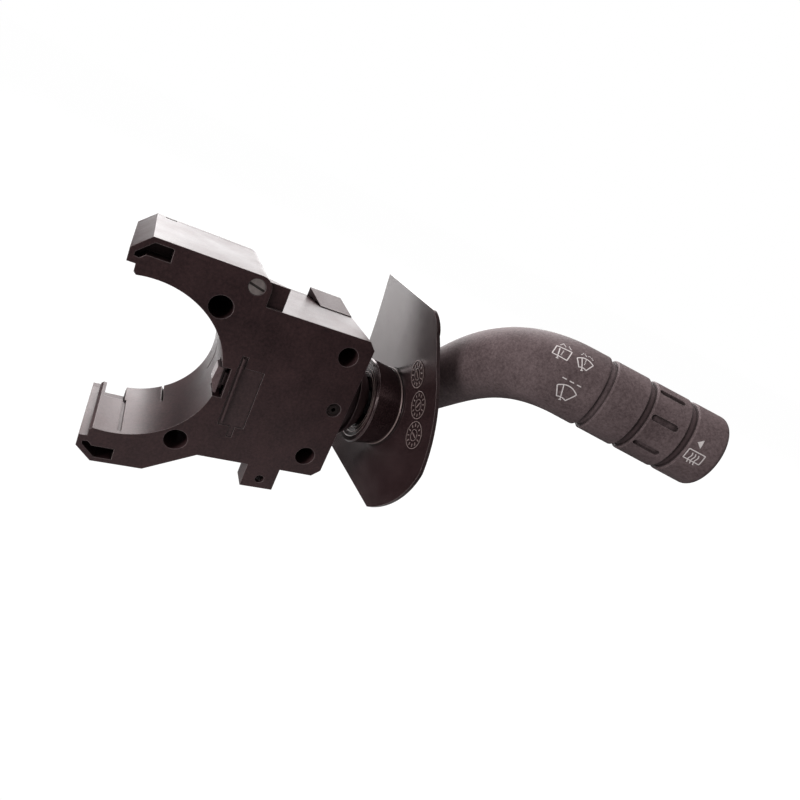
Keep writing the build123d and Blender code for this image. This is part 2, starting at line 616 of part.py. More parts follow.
def pivot_frame():
    """Box frame that tilts on the trunnions and carries the lever's cross pin and dome."""
    x0, x1 = PIVOT_X - FRAME_REAR, PIVOT_X + FRAME_FRONT
    y0, y1 = PIVOT_Y - FRAME_HALF_Y, PIVOT_Y + FRAME_HALF_Y
    frame = box(x0, x1, y0, y1, -FRAME_HALF_Z, FRAME_HALF_Z)
    w = FRAME_WALL
    frame -= box(x0 - 1, x1 + 1, y0 + w, y1 - w, w - FRAME_HALF_Z, FRAME_HALF_Z - w)
    frame -= rod_z(PIVOT_X, PIVOT_Y, CROSS_PIN_R, -FRAME_HALF_Z - 1, FRAME_HALF_Z + 1)

    # Dome that closes the side opening, centred on the pivot.
    dome = Rot(0, 90, 0) * dome_shell()
    slot_y = ARM_FRONT_R + GAP + DOME_R * sin(radians(YAW))
    dome -= box(0, DOME_R + 1, -slot_y, slot_y, -ARM_FRONT_R - GAP, ARM_FRONT_R + GAP)
    dome -= Box(2 * FRAME_FRONT, 2 * (FRAME_HALF_Y - w), 2 * (FRAME_HALF_Z - w))
    frame += Pos(PIVOT_X, PIVOT_Y, 0) * dome

    # Tail and peg that move the pitch slide.
    peg_x = PIVOT_X - PITCH_PEG
    frame += box(peg_x - 2.5, x0 + 0.5, y1 - w, y1, -3, 3)
    frame += rod_y(peg_x, 0, PEG_R, y1, PITCH_SLIDE_Y + SLIDE_T - 0.4)
    return frame


def dome_shell():
    """Dome, its skirt and the skirt's floor, revolved about the local Z axis."""
    inner = DOME_R - DOME_WALL
    floor0, floor1 = FRAME_FRONT - 1.4, FRAME_FRONT
    skirt_in = DOME_SKIRT_R - 1.6
    lip_out, lip_in = sqrt(DOME_R**2 - DOME_LIP**2), sqrt(inner**2 - skirt_in**2)
    mid = sqrt(0.5)
    edge = [
        Line((0, 0, floor0), (DOME_SKIRT_R, 0, floor0)),
        Line((DOME_SKIRT_R, 0, floor0), (DOME_SKIRT_R, 0, DOME_LIP)),
        Line((DOME_SKIRT_R, 0, DOME_LIP), (lip_out, 0, DOME_LIP)),
        ThreePointArc((lip_out, 0, DOME_LIP), (DOME_R * mid, 0, DOME_R * mid), (0, 0, DOME_R)),
        Line((0, 0, DOME_R), (0, 0, inner)),
        ThreePointArc((0, 0, inner), (inner * 0.6, 0, inner * 0.8), (skirt_in, 0, lip_in)),
        Line((skirt_in, 0, lip_in), (skirt_in, 0, floor1)),
        Line((skirt_in, 0, floor1), (0, 0, floor1)),
        Line((0, 0, floor1), (0, 0, floor0)),
    ]
    return revolve(make_face(Curve() + edge), Axis.Z)


def trunnions():
    """Two pins pressed into the frame; the front one shows in the front face."""
    y0, y1 = PIVOT_Y - FRAME_HALF_Y, PIVOT_Y + FRAME_HALF_Y
    front = rod_y(PIVOT_X, 0, TRUNNION_R, 0.3, y0)
    front -= rod_y(PIVOT_X, 0, 0.8, -1, 2.4)
    rear = rod_y(PIVOT_X, 0, TRUNNION_R, y1, CASE_DEPTH - 1.0)
    return Compound(children=[front, rear])


def cross_pin():
    """Upright pin of the lever's fore and aft movement."""
    return rod_z(PIVOT_X, PIVOT_Y, CROSS_PIN_R, -FRAME_HALF_Z, FRAME_HALF_Z)


def pitch_slide():
    """Contact slide that follows the lever up and down."""
    x = PIVOT_X - PITCH_PEG
    y0, y1 = PITCH_SLIDE_Y, PITCH_SLIDE_Y + SLIDE_T
    slide = box(
        x - PITCH_SLIDE_HALF_X, x + PITCH_SLIDE_HALF_X, y0, y1, -PITCH_SLIDE_HALF_Z, PITCH_SLIDE_HALF_Z
    )
    slot = SlotCenterToCenter(2.0, 2 * (PEG_R + 0.2))
    return slide - slab(Pos(x, 0) * slot, y0 - 1, y1 + 1)


def yaw_slide_slot():
    """Lower and upper end of the yaw slide's slot, clear of the arm as the lever tilts."""
    reach = YAW_SLIDE_X + SLIDE_T / 2
    lower = -reach * sin(radians(PITCH_UP)) - ARM_R - GAP
    return lower, reach * sin(radians(PITCH_DOWN)) + ARM_R + GAP


def yaw_slide():
    """Contact slide that follows the lever towards and away from the driver."""
    x0 = PIVOT_X - YAW_SLIDE_X - SLIDE_T / 2
    x1 = x0 + SLIDE_T
    z0, z1 = yaw_slide_slot()
    y0, y1 = PIVOT_Y - YAW_SLIDE_HALF_Y, PIVOT_Y + YAW_SLIDE_HALF_Y
    plate = box(x0, x1, y0, y1, z0 - YAW_SLIDE_RIM, z1 + YAW_SLIDE_RIM)
    return plate - box(x0 - 1, x1 + 1, PIVOT_Y - YAW_SLIDE_SLOT, PIVOT_Y + YAW_SLIDE_SLOT, z0, z1)


def slide_guide():
    """Channels above and below the yaw slide, on feet from the front wall."""
    x = PIVOT_X - YAW_SLIDE_X
    half = SLIDE_T / 2 + GUIDE_WALL
    groove = SLIDE_T / 2 + GUIDE_PLAY
    slot_low, slot_high = yaw_slide_slot()
    back = PIVOT_Y + YAW_SLIDE_HALF_Y + 3.0
    guides = []
    for edge, side in ((slot_high + YAW_SLIDE_RIM, 1), (slot_low - YAW_SLIDE_RIM, -1)):
        inner, outer = sorted((edge - side * GUIDE_LIP, edge + side * GUIDE_BACKING))
        rail = box(x - half, x + half, WALL, back, inner, outer)
        low, high = sorted((edge - side * 2 * GUIDE_LIP, edge + side * GUIDE_PLAY))
        guides.append(rail - box(x - groove, x + groove, WALL + 2.5, back + 1, low, high))
    return Compound(children=guides)


# ======================= lever =======================


def lever_arm():
    """Arm from the plunger's bore through the cross pin to the stalk's root."""
    back = PIVOT_X - ARM_BACK
    arm = rod_x(PIVOT_Y, 0, ARM_R, back, PIVOT_X)
    arm += rod_x(PIVOT_Y, 0, ARM_FRONT_R, PIVOT_X - 2.5, ROOT_X)
    boss_z = FRAME_HALF_Z - FRAME_WALL - 0.2
    arm += rod_z(PIVOT_X, PIVOT_Y, CROSS_PIN_R + 2.0, -boss_z, boss_z)
    arm -= rod_z(PIVOT_X, PIVOT_Y, CROSS_PIN_R + FIT, -boss_z - 1, boss_z + 1)
    arm -= rod_x(PIVOT_Y, 0, PLUNGER_R + FIT, back - 1, PIVOT_X - SPRING_END)
    root_face = Plane(origin=root_start(), z_dir=root_direction())
    return arm - extrude(root_face * Circle(4 * ARM_FRONT_R), amount=4 * ARM_FRONT_R)


def detent_plunger():
    """Round-nosed plunger in the arm's bore."""
    nose = PIVOT_X - PLUNGER_TIP
    body = rod_x(PIVOT_Y, 0, PLUNGER_R, nose + PLUNGER_R, PIVOT_X - PLUNGER_REAR)
    return body + Pos(nose + PLUNGER_R, PIVOT_Y, 0) * Sphere(PLUNGER_R)


def detent_spring():
    """Coil spring behind the plunger."""
    length = PLUNGER_REAR - SPRING_END - SPRING_WIRE
    spring = coil(PLUNGER_R - SPRING_WIRE / 2 - 0.15, SPRING_WIRE, length, DETENT_SPRING_TURNS)
    return Pos(PIVOT_X - PLUNGER_REAR + SPRING_WIRE / 2, PIVOT_Y, 0) * Rot(0, 90, 0) * spring


def shield_outline():
    """Edge of the shield in (Y, Z): flat top and bottom, bowed near and far edges."""
    top, bottom, near = SHIELD_TOP, SHIELD_BOTTOM, SHIELD_NEAR
    top_near = (near + 21.9, top)
    shoulder = (near + 18.1, top - 7)
    waist = (near + 14.9, top - 17)
    belly = (near, -3)
    low_near = (near + 12, bottom + 3)
    top_far = (SHIELD_TOP_FAR, top)
    low_far = (SHIELD_LOW_FAR, bottom)
    edge = [
        Line(top_far, top_near),
        ThreePointArc(top_near, (near + 19.1, top - 1.9), shoulder),
        Line(shoulder, waist),
        ThreePointArc(waist, (near + 7.1, 16), belly),
        ThreePointArc(belly, (near + 2.2, -15.5), low_near),
        Line(low_near, low_far),
        ThreePointArc(low_far, (SHIELD_FAR, 11), top_far),
    ]
    return make_face(Curve() + edge)


def lever_shield():
    """Thin bowed shield with the collar that covers the dome."""
    centre_x = SHIELD_X - SHIELD_R
    y0, y1 = SHIELD_NEAR - 10, SHIELD_FAR + 10
    bow = slab(Pos(centre_x, SHIELD_Z) * (Circle(SHIELD_R + SHIELD_T) - Circle(SHIELD_R)), y0, y1)
    shield = bow & (Pos(COLLAR_X - 10, 0, 0) * extrude(Plane.YZ * shield_outline(), amount=40))
    length = SHIELD_X - COLLAR_X + 0.4
    rim = COLLAR_R0 - COLLAR_LIP
    collar = turned(
        (COLLAR_EYE_R, 1.2), (rim, 0.3), (rim + 0.4, 0), (COLLAR_R0 - 0.5, 0), (COLLAR_R0, 0.6),
        (COLLAR_R1, length), (COLLAR_R1 - COLLAR_WALL, length), (COLLAR_R0 - COLLAR_WALL - 0.2, 1.7),
        (COLLAR_EYE_R, 2.4),
    )
    bowed = rod_y(centre_x, SHIELD_Z, SHIELD_R + SHIELD_T / 2, y0, y1)
    place = Pos(COLLAR_X, PIVOT_Y, 0) * Rot(0, 90, 0)
    shield += (place * collar) & bowed
    step = slab(Pos(centre_x, SHIELD_Z) * (Circle(SHIELD_R + SHIELD_T / 2) - Circle(SHIELD_R - BEAD)), y0, y1)
    shield += (place * tube(COLLAR_R1 + BEAD, COLLAR_R1 - COLLAR_WALL, 0, 2 * length)) & step
    return shield - stalk_solid(0.05)


def root_direction():
    """Direction of the stalk where it leaves the shield."""
    turn, rise = radians(ROOT_TURN), radians(ROOT_RISE)
    return Vector(cos(rise) * cos(turn), cos(rise) * sin(turn), sin(rise))


def root_start():
    """Centre of the stalk's root face, inside the collar."""
    return Vector(ROOT_X, ROOT_Y, ROOT_Z) - root_direction() * ROOT_TAIL


def stalk_solid(grow=0.0):
    """Bent, swelling body of the stalk through round sections."""
    root = Vector(ROOT_X, ROOT_Y, ROOT_Z)
    bend_end = TIP_ORIGIN + TIP_AXIS * BEND_END
    path = Bezier(root, root + root_direction() * ROOT_PULL, bend_end - TIP_AXIS * TIP_PULL, bend_end)
    sections = [Plane(origin=root_start(), z_dir=root_direction()) * Circle(ROOT_R + grow)]
    steps = 9
    for i in range(steps + 1):
        s = i / steps
        radius = ROOT_R + (KNOB_R - ROOT_R) * (1 - (1 - s) ** 2.2)
        sections.append(Plane(origin=path @ s, z_dir=path % s) * Circle(radius + grow))
    sections.append(TIP * Pos(0, 0, STALK_END) * Circle(KNOB_R + grow))
    return loft(sections)


def lever_stalk():
    """Stalk with the socket for the knob's spindle."""
    socket = TIP * Pos(0, 0, STALK_END - SPINDLE_TAIL / 2 + 1) * Cylinder(SPINDLE_TAIL_R, SPINDLE_TAIL + 2)
    return stalk_solid() - socket


def lever_spindle():
    """Stepped spindle on which the ring and the cap turn."""
    tail, core, tip = SPINDLE_TAIL_R, RING_BORE_R, SPINDLE_TIP_R
    return TIP * turned(
        (0, STALK_END - SPINDLE_TAIL), (tail, STALK_END - SPINDLE_TAIL), (tail, STALK_END), (core, STALK_END),
        (core, CAP_START), (tip, CAP_START), (tip, CAP_STOP - CAP_WALL - 1.5), (0, CAP_STOP - CAP_WALL - 1.5),
    )


def sleeve_ring():
    """Fixed sleeve between the stalk and the turning ring, with the groove's shoulder."""
    edge = 0.4
    return TIP * turned(
        (RING_BORE_R, STALK_END), (GROOVE_R, STALK_END),
        (GROOVE_R, SLEEVE_START), (KNOB_R - edge, SLEEVE_START),
        (KNOB_R, SLEEVE_START + edge), (KNOB_R, SLEEVE_STOP - edge), (KNOB_R - edge, SLEEVE_STOP),
        (RING_BORE_R, SLEEVE_STOP),
    )


def groove_washer(start):
    """Washer that fills the groove between two rings."""
    return TIP * tube(GROOVE_R, RING_BORE_R, start, start + WASHER_T)


def interval_ring():
    """Turning ring with grip slots along it."""
    edge = 0.4
    z0, z1 = RING_START + SEAT, RING_STOP - SEAT
    bore = RING_BORE_R + FIT
    ring = turned(
        (bore, z0), (KNOB_R - edge, z0), (KNOB_R, z0 + edge),
        (KNOB_R, z1 - edge), (KNOB_R - edge, z1), (bore, z1)
    )
    slot = SlotOverall(SLOT_LENGTH, SLOT_WIDTH)
    cutter = Plane(
        origin=(KNOB_R - SLOT_DEPTH, 0, z0 + 0.7 + SLOT_LENGTH / 2), x_dir=(0, 0, 1), z_dir=(1, 0, 0)
    )
    cutter = extrude(cutter * slot, amount=SLOT_DEPTH + 2)
    for i in range(GRIP_SLOTS):
        ring -= Rot(0, 0, GRIP_START + i * 360 / GRIP_SLOTS) * cutter
    return TIP * ring


def end_cap():
    """Twist cap: hollow, with a hub on the spindle."""
    z0 = CAP_START + SEAT
    hub = SPINDLE_TIP_R + FIT
    inner = KNOB_R - CAP_WALL
    cap = turned(
        (hub, z0), (hub + CAP_HUB_WALL, z0), (hub + CAP_HUB_WALL, CAP_STOP - CAP_WALL),
        (inner, CAP_STOP - CAP_WALL), (inner, z0),
        (KNOB_R - 0.4, z0), (KNOB_R, z0 + 0.4), (KNOB_R, CAP_STOP), (0, CAP_STOP), (0, CAP_STOP - CAP_WALL),
        (hub, CAP_STOP - CAP_WALL),
    )
    rim = cap.edges().filter_by(GeomType.CIRCLE).group_by(Axis.Z)[-1]
    return TIP * fillet(rim, CAP_EDGE)


def cap_spring():
    """Torsion spring that turns the cap back."""
    radius = SPINDLE_TIP_R + FIT + CAP_HUB_WALL + 1.0
    spring = coil(radius, CAP_SPRING_WIRE, CAP_SPRING_LENGTH, CAP_SPRING_TURNS)
    return TIP * Pos(0, 0, CAP_START + 0.5) * spring


NODES = {
    "main_housing": main_housing,
    "rear_cover": rear_cover,
    "cover_screws": cover_screws,
    "clamp_screw": clamp_screw,
    "latch_clip": latch_clip,
    "latch_hook": latch_hook,
    "latch_spring": latch_spring,
    "top_lid": top_lid,
    "terminal_pins": terminal_pins,
    "contact_board": contact_board,
    "contact_tracks": contact_tracks,
    "detent_cam": detent_cam,
    "slide_guide": slide_guide,
    "pivot_frame": pivot_frame,
    "trunnions": trunnions,
    "cross_pin": cross_pin,
    "pitch_slide": pitch_slide,
    "yaw_slide": yaw_slide,
    "lever_arm": lever_arm,
    "detent_plunger": detent_plunger,
    "detent_spring": detent_spring,
    "lever_shield": lever_shield,
    "lever_stalk": lever_stalk,
    "lever_spindle": lever_spindle,
    "sleeve_ring": sleeve_ring,
    "ring_washer": lambda: groove_washer(SLEEVE_STOP),
    "interval_ring": interval_ring,
    "cap_washer": lambda: groove_washer(RING_STOP),
    "end_cap": end_cap,
    "cap_spring": cap_spring,
}

os.makedirs("parts", exist_ok=True)
for node, make in NODES.items():
    export_step(make(), f"parts/{node}.step")
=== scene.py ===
import math
import bmesh
import bpy
from mathutils import Matrix, Vector
from mathutils.bvhtree import BVHTree


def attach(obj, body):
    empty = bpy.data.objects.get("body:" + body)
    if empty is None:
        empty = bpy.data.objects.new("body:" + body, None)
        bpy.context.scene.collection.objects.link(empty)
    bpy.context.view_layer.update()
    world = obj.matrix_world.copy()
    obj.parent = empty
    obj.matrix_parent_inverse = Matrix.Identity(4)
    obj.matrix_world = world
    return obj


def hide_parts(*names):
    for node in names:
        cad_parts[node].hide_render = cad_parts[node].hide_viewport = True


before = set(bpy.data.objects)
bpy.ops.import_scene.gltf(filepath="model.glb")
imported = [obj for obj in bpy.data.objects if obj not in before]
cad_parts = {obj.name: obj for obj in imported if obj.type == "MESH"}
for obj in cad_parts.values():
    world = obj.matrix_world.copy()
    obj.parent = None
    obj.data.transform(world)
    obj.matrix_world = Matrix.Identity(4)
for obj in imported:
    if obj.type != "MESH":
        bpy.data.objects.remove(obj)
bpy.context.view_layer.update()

# ---------------------------------------------------------------------------
# Housing, rear cover, pivot frame, clip and lid: glass-filled nylon, injection
# moulded in spark-eroded tools, snapped and screwed together. The latch in the
# seat's window is taken for acetal, from its gloss.
# ---------------------------------------------------------------------------
MM = 0.001
CLOUD_MM, MOTTLE_MM = 14.0, 1.0     # sizes of the two patterns in a moulding's colour
SHADE_REACH_MM = 1.6                      # how far the painted shade reaches out of a moulding's corners
EDGE_WEAR_AND_SHEEN = "#857979"                  # pale edge colour: edge wear and a painted edge highlight
GLOSS = "#ffe6e6"                   # faint pink tint of a moulding's reflections


def linear(hex_colour):
    """Linear RGBA of an sRGB hex colour."""
    channels = [int(hex_colour[i:i + 2], 16) / 255 for i in (1, 3, 5)]
    return [c / 12.92 if c <= 0.04045 else ((c + 0.055) / 1.055) ** 2.4 for c in channels] + [1.0]


def new_material(name):
    """Empty node material and its surface shader."""
    material = bpy.data.materials.new(name)
    material.use_nodes = True
    return material, material.node_tree.nodes["Principled BSDF"]


def add(material, kind, sockets=None, **settings):
    """Add a shader node with its settings, and numbers or links for its sockets."""
    made = material.node_tree.nodes.new("ShaderNode" + kind)
    for name, value in settings.items():
        setattr(made, name, value)
    for socket, value in (sockets or {}).items():
        if isinstance(value, bpy.types.NodeSocket):
            material.node_tree.links.new(value, made.inputs[socket])
        else:
            made.inputs[socket].default_value = value
    return made


def link(material, output, target):
    """Join an output to an input."""
    material.node_tree.links.new(output, target)


def painted_corner_shade(material, tone, reach_mm):
    """Colour made darker in grooves and corners by ambient occlusion: painted shade."""
    hidden = add(material, "AmbientOcclusion", {"Distance": reach_mm * MM}, samples=8)
    unshaded = add(material, "MapRange", {
        "Value": hidden.outputs["AO"], "From Min": 0.45, "From Max": 0.95, "To Min": 0.25})
    darker = add(material, "Mix", {
        "Factor": 1.0, "A": tone, "B": unshaded.outputs["Result"]}, data_type="RGBA", blend_type="MULTIPLY")
    return darker.outputs["Result"]


def moulded_plastic(name, dark, light, roughness, grain_mm, grain_depth, edge=0.18, ior=1.53):
    """Moulded thermoplastic: grained and mottled, pale along its edges with wear and a painted edge
    highlight, and darker in its corners with painted shade.
    """
    material, shader = new_material(name)
    place = add(material, "TexCoord").outputs["Object"]
    cloud = add(material, "TexNoise", {
        "Vector": place, "Scale": 1 / (CLOUD_MM * MM), "Detail": 4.0, "Roughness": 0.6})
    mottle = add(material, "TexNoise", {
        "Vector": place, "Scale": 1 / (MOTTLE_MM * MM), "Detail": 6.0, "Roughness": 0.8})
    grain = add(material, "TexNoise", {
        "Vector": place, "Scale": 1 / (grain_mm * MM), "Detail": 3.0, "Roughness": 0.65})
    both = add(material, "Mix", {
        0: 0.65, 2: cloud.outputs["Fac"], 3: mottle.outputs["Fac"]}, data_type="FLOAT")
    spread = add(material, "MapRange", {"Value": both.outputs[0], "From Min": 0.38, "From Max": 0.62})
    tone = add(material, "Mix", {
        "Factor": spread.outputs["Result"], "A": linear(dark), "B": linear(light)}, data_type="RGBA")
    # An edge is where the rounded normal turns away from the flat one.
    rounded = add(material, "Bevel", {"Radius": edge * MM}, samples=6)
    flat = add(material, "NewGeometry").outputs["Normal"]
    turn = add(material, "VectorMath", {0: rounded.outputs["Normal"], 1: flat}, operation="DOT_PRODUCT")
    # Edges turn pale: partly wear, partly a painted edge highlight.
    edge_wear_and_sheen = add(material, "MapRange", {
        "Value": turn.outputs["Value"], "From Min": 0.995, "From Max": 0.86, "To Max": 0.9})
    edged_tone = add(material, "Mix", {
        "Factor": edge_wear_and_sheen.outputs["Result"], "A": tone.outputs["Result"], "B": linear(EDGE_WEAR_AND_SHEEN)},
        data_type="RGBA")
    matt = add(material, "MapRange", {
        "Value": cloud.outputs["Fac"], "From Min": 0.3, "From Max": 0.7,
        "To Min": roughness - 0.05, "To Max": roughness + 0.06})
    bump = add(material, "Bump", {
        "Height": grain.outputs["Fac"], "Strength": 1.0, "Distance": grain_depth * MM,
        "Normal": rounded.outputs["Normal"]})
    # The base colour carries painted shade in the moulding's corners.
    link(material, painted_corner_shade(material, edged_tone.outputs["Result"], SHADE_REACH_MM), shader.inputs["Base Color"])
    link(material, matt.outputs["Result"], shader.inputs["Roughness"])
    link(material, bump.outputs["Normal"], shader.inputs["Normal"])
    shader.inputs["IOR"].default_value = ior
    shader.inputs["Specular Tint"].default_value = linear(GLOSS)
    return material


def dress(node, material):
    """Give a CAD node its finish."""
    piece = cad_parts[node]
    piece.data.materials.clear()
    piece.data.materials.append(material)


# Glass-filled nylon off a spark-eroded tool: dark warm black and mottled. Its
# grain is drawn at 0.45 mm, coarser than the real one, so that it shows.
nylon = moulded_plastic(
    "glass_filled_nylon_spark_eroded", "#1f1416", "#432f30", 0.36, 0.45, 0.022, edge=0.32, ior=1.42)
dress("main_housing", nylon)
# The same nylon in the cover, lid and frame: a little duller, its colour more even.
cover_nylon = moulded_plastic(
    "glass_filled_nylon_cover", "#24181a", "#3c2c2d", 0.42, 0.45, 0.020, edge=0.32, ior=1.42)
for node in ("rear_cover", "top_lid", "pivot_frame"):
    dress(node, cover_nylon)
# The clip's nylon: lighter, its grain half as deep and its edges crisp.
clip_nylon = moulded_plastic(
    "smooth_nylon_clip", "#2a1f20", "#463536", 0.36, 0.45, 0.010, edge=0.04, ior=1.45)
dress("latch_clip", clip_nylon)
# The latch's acetal: paler and glossier than the nylon round it.
latch_acetal = moulded_plastic(
    "dark_acetal_latch", "#5a4a4b", "#6c5a5b", 0.24, 0.45, 0.008, ior=1.53)
dress("latch_hook", latch_acetal)

# ---------------------------------------------------------------------------
# Screws, pivot pins and springs: turned or drawn steel. The screws are zinc
# plated, the pins blackened, and the springs left as drawn.
# ---------------------------------------------------------------------------
PATCH_MM = 2.0              # size of the dull patches
MARK_DEPTH_MM = 0.004       # depth of the marks
STEEL_SHADE_REACH_MM = 1.2        # how far the painted shade reaches out of a slot or corner


def worked_steel(name, colour, roughness, streak_mm, patch="#7c7470"):
    """Turned or drawn steel: fine marks, dull patches, and painted shade in its slots and corners."""
    material, shader = new_material(name)
    place = add(material, "TexCoord").outputs["Object"]
    marks = add(material, "TexNoise", {
        "Vector": place, "Scale": 1 / (streak_mm * MM), "Detail": 5.0, "Roughness": 0.7})
    patches = add(material, "TexNoise", {"Vector": place, "Scale": 1 / (PATCH_MM * MM), "Detail": 3.0})
    tone = add(material, "Mix", {
        "Factor": patches.outputs["Fac"], "A": linear(colour), "B": linear(patch)}, data_type="RGBA")
    matt = add(material, "MapRange", {
        "Value": marks.outputs["Fac"], "To Min": roughness - 0.1, "To Max": roughness + 0.15})
    bump = add(material, "Bump", {"Height": marks.outputs["Fac"], "Distance": MARK_DEPTH_MM * MM})
    link(material, painted_corner_shade(material, tone.outputs["Result"], STEEL_SHADE_REACH_MM), shader.inputs["Base Color"])
    link(material, matt.outputs["Result"], shader.inputs["Roughness"])
    link(material, bump.outputs["Normal"], shader.inputs["Normal"])
    shader.inputs["Metallic"].default_value = 1.0
    return material


# Zinc plating: bright, with greyer patches and marks about 0.2 mm wide.
screw_steel = worked_steel("zinc_plated_steel_screw", "#f2e4e0", 0.33, 0.2, patch="#8d7e7c")
for node in ("clamp_screw", "cover_screws"):
    dress(node, screw_steel)
# Blackened steel: nearly black, with a dull metal sheen.
pin_steel = worked_steel("blackened_steel_pin", "#4a4242", 0.45, 0.2, patch="#2e2827")
for node in ("trunnions", "cross_pin"):
    dress(node, pin_steel)
# Drawn wire: mid grey, its marks finer than the screws'.
spring_wire = worked_steel("drawn_spring_wire", "#8b8783", 0.32, 0.15)
for node in ("latch_spring", "detent_spring", "cap_spring"):
    dress(node, spring_wire)

# ---------------------------------------------------------------------------
# Inside: acetal slides, plunger and cam, plain nylon guides, the laminate
# board, and stamped brass tracks and terminals.
# ---------------------------------------------------------------------------
# Natural acetal: off-white with a waxy sheen.
acetal = moulded_plastic("natural_acetal", "#cfcabc", "#dcd8cc", 0.32, 0.4, 0.004, ior=1.48)
for node in ("detent_cam", "pitch_slide", "yaw_slide", "detent_plunger"):
    dress(node, acetal)
# Plain nylon, dyed dark grey: smooth and dull.
plain_nylon = moulded_plastic("plain_nylon", "#3a3a3c", "#454547", 0.45, 0.35, 0.008)
for node in ("slide_guide", "lever_arm", "lever_spindle"):
    dress(node, plain_nylon)
# Paper laminate: brown, matt and fine grained.
laminate = moulded_plastic("paper_laminate", "#7d5f3c", "#8d6d47", 0.5, 0.3, 0.006)
dress("contact_board", laminate)
# Stamped brass: yellow metal with browner stains about 1.5 mm wide.
brass, brass_shader = new_material("stamped_brass")
brass_place = add(brass, "TexCoord").outputs["Object"]
brass_stain = add(brass, "TexNoise", {"Vector": brass_place, "Scale": 1 / (1.5 * MM), "Detail": 4.0})
brass_tone = add(brass, "Mix", {
    "Factor": brass_stain.outputs["Fac"], "A": linear("#c9a35a"), "B": linear("#9c7a3e")}, data_type="RGBA")
link(brass, brass_tone.outputs["Result"], brass_shader.inputs["Base Color"])
brass_shader.inputs["Metallic"].default_value = 1.0
brass_shader.inputs["Roughness"].default_value = 0.3
for node in ("contact_tracks", "terminal_pins"):
    dress(node, brass)

# ---------------------------------------------------------------------------
# Lever: shield, stalk and knob in satin-grained polypropylene blend, moulded
# in two shells and welded; the knob's parts snap on the spindle.
# ---------------------------------------------------------------------------
# The grained blend: warm grey with soft reflections. Its grain is drawn at
# 0.5 mm, coarse enough to show.
lever_plastic = moulded_plastic(
    "satin_grained_lever_plastic", "#4a3e3f", "#706162", 0.52, 0.50, 0.048, ior=1.22)
# The shield's blend: darker, and shining because its tool is smoother.
shield_plastic = moulded_plastic("satin_shield_plastic", "#201516", "#332526", 0.17, 0.70, 0.011)
# The washers' blend: darker than the knob and more even in colour.
groove_plastic = moulded_plastic("dull_washer_plastic", "#433738", "#534546", 0.45, 0.45, 0.012, ior=1.3)
dress("lever_shield", shield_plastic)
for node in ("sleeve_ring", "interval_ring", "end_cap"):
    dress(node, lever_plastic)
for node in ("ring_washer", "cap_washer"):
    dress(node, groove_plastic)

# The stalk's bend, a curve from the shield's middle to the knob's axis.
ROOT = Vector((92.9, 17.8, 3.1)) * MM
ROOT_TURN, ROOT_RISE = math.radians(11.0), math.radians(19.0)
ROOT_PULL, ROOT_TAIL = 32.4 * MM, 4.0 * MM
TIP = Vector((151.3, -41.4, 44.9)) * MM
TIP_TURN, TIP_RISE = math.radians(-31.9), math.radians(-2.1)
TIP_PULL, BEND_END = 35.2 * MM, -22.9 * MM
ROOT_R, KNOB_R = 8.6 * MM, 13.15 * MM
SWELL = 2.2                 # how early the stalk grows to the knob's radius
# Straight end of the stalk and its rounded shoulder: places along the knob's
# axis, and how far each is inside the knob's radius.
SHOULDER = ((-20.0, 0.0), (-17.5, 0.0), (-16.5, 0.0), (-16.22, 0.1), (-16.1, 0.35), (-16.1, 5.15))
STALK_SIDES = STALK_STEPS = 72


def heading(turn, rise):
    """Unit vector from its turn about Z and its rise above level."""
    return Vector((math.cos(rise) * math.cos(turn), math.cos(rise) * math.sin(turn), math.sin(rise)))


tip_axis = heading(TIP_TURN, TIP_RISE)
tip_side = tip_axis.cross(Vector((0, 0, 1))).normalized()
tip_up = tip_side.cross(tip_axis).normalized()


def stalk_line(s):
    """Point, direction and radius along the stalk's bend, s from 0 at the shield to 1."""
    a = ROOT
    b = ROOT + heading(ROOT_TURN, ROOT_RISE) * ROOT_PULL
    d = TIP + tip_axis * BEND_END
    c = d - tip_axis * TIP_PULL
    point = a * (1 - s) ** 3 + b * 3 * s * (1 - s) ** 2 + c * 3 * s * s * (1 - s) + d * s ** 3
    along = (b - a) * (1 - s) ** 2 + (c - b) * 2 * s * (1 - s) + (d - c) * s * s
    radius = ROOT_R + (KNOB_R - ROOT_R) * (1 - (1 - s) ** SWELL)
    return point, along.normalized(), radius


def stalk_mesh():
    """Smooth swept body of the stalk, with its rounded shoulder at the sleeve."""
    rings = [(ROOT - heading(ROOT_TURN, ROOT_RISE) * ROOT_TAIL, heading(ROOT_TURN, ROOT_RISE), ROOT_R)]
    rings += [stalk_line(i / STALK_STEPS) for i in range(STALK_STEPS + 1)]
    for t, inset in SHOULDER:
        rings.append((TIP + tip_axis * t * MM, tip_axis, KNOB_R - inset * MM))
    mesh = bmesh.new()
    side = heading(ROOT_TURN, ROOT_RISE).cross(Vector((0, 0, 1))).normalized()
    rows = []
    for point, along, radius in rings:
        side = (side - along * side.dot(along)).normalized()
        up = side.cross(along)
        rows.append([
            mesh.verts.new(point + (side * math.cos(a) + up * math.sin(a)) * radius)
            for a in (2 * math.pi * k / STALK_SIDES for k in range(STALK_SIDES))])
    for lower, upper in zip(rows, rows[1:]):
        for k in range(STALK_SIDES):
            following = (k + 1) % STALK_SIDES
            mesh.faces.new((lower[k], lower[following], upper[following], upper[k]))
    mesh.faces.new(reversed(rows[0]))
    mesh.faces.new(rows[-1])
    bmesh.ops.recalc_face_normals(mesh, faces=mesh.faces)
    return mesh


